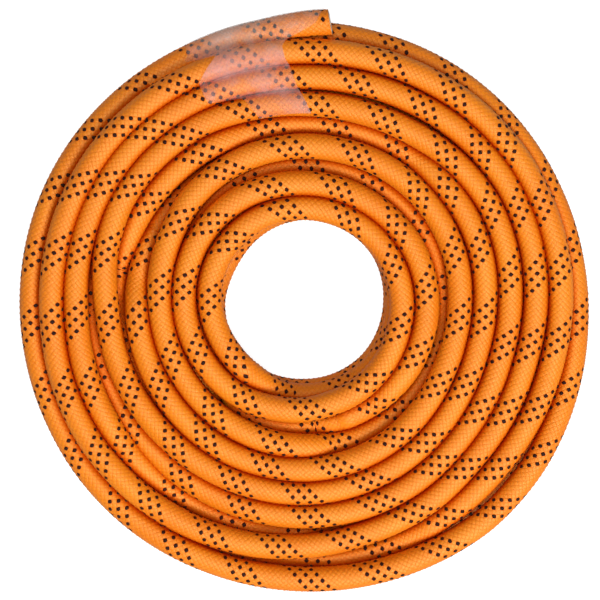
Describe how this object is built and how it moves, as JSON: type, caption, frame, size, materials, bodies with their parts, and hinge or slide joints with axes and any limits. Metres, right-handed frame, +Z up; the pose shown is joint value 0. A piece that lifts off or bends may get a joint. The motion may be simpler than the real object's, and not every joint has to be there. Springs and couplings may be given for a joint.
{
  "type": "climbing rope",
  "caption": "Braided climbing rope wound into a flat round coil, with its heat-cut free end held down on top by a strip of clear tape.",
  "frame": {"origin": "middle of the footprint, on the surface that the coil lies on", "axes": "+Z up along the coil's axis; +Y towards the taped free end; +X to the right with the free end's cut face pointing that way"},
  "size_m": [0.218, 0.2246, 0.0302],
  "materials": {
    "sheath": "tight polyamide braid, orange with black marker dots",
    "core": "white twisted polyamide bundles",
    "seal": "melted polyamide",
    "tape": "clear packing tape, slightly milky where it lifts off"
  },
  "bodies": {
    "coil": {"coil_bottom_layer": "sheath", "coil_middle_layer": "sheath", "coil_top_layer": "sheath", "outer_turn": "sheath"},
    "free_end": {"free_end_sheath": "sheath", "core_bundle_1": "core", "core_bundle_2": "core", "core_bundle_3": "core", "core_bundle_4": "core", "core_bundle_5": "core", "core_bundle_6": "core", "core_bundle_7": "core", "cut_end_seal": "seal", "clear_tape": "tape"}
  },
  "joints": [
    {"name": "free_end_lift", "type": "hinge", "parent": "coil", "child": "free_end", "pos_m": [-0.05903, 0.08477, 0.0293], "axis": [0.5736, -0.8192, 0], "range_deg": [0, 45]}
  ]
}
